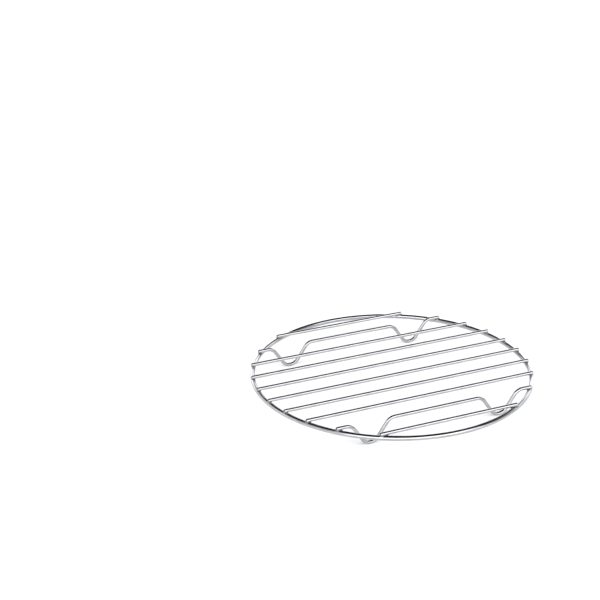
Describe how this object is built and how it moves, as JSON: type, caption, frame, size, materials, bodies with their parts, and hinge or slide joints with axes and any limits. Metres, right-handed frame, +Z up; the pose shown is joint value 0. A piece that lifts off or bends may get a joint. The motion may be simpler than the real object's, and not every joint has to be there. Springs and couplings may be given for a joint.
{
  "type": "cooling rack",
  "caption": "Round wire cooling rack for cakes and hot pans: parallel bars welded across a ring, standing on feet bent down from the same wire.",
  "frame": {"origin": "middle of the rack, on the surface that its four feet stand on", "axes": "+Z up; the cross bars and foot wires run along X and are spaced along Y; the front is at -Y"},
  "size_m": [0.23, 0.23, 0.0204],
  "materials": {
    "chromed_wire": "bright chrome plate over drawn steel wire"
  },
  "bodies": {
    "root": {"outer_ring": "chromed_wire", "cross_bar_1": "chromed_wire", "foot_wire_front": "chromed_wire", "cross_bar_2": "chromed_wire", "cross_bar_3": "chromed_wire", "cross_bar_4": "chromed_wire", "cross_bar_5": "chromed_wire", "cross_bar_6": "chromed_wire", "cross_bar_7": "chromed_wire", "foot_wire_rear": "chromed_wire", "cross_bar_8": "chromed_wire"}
  },
  "joints": []
}
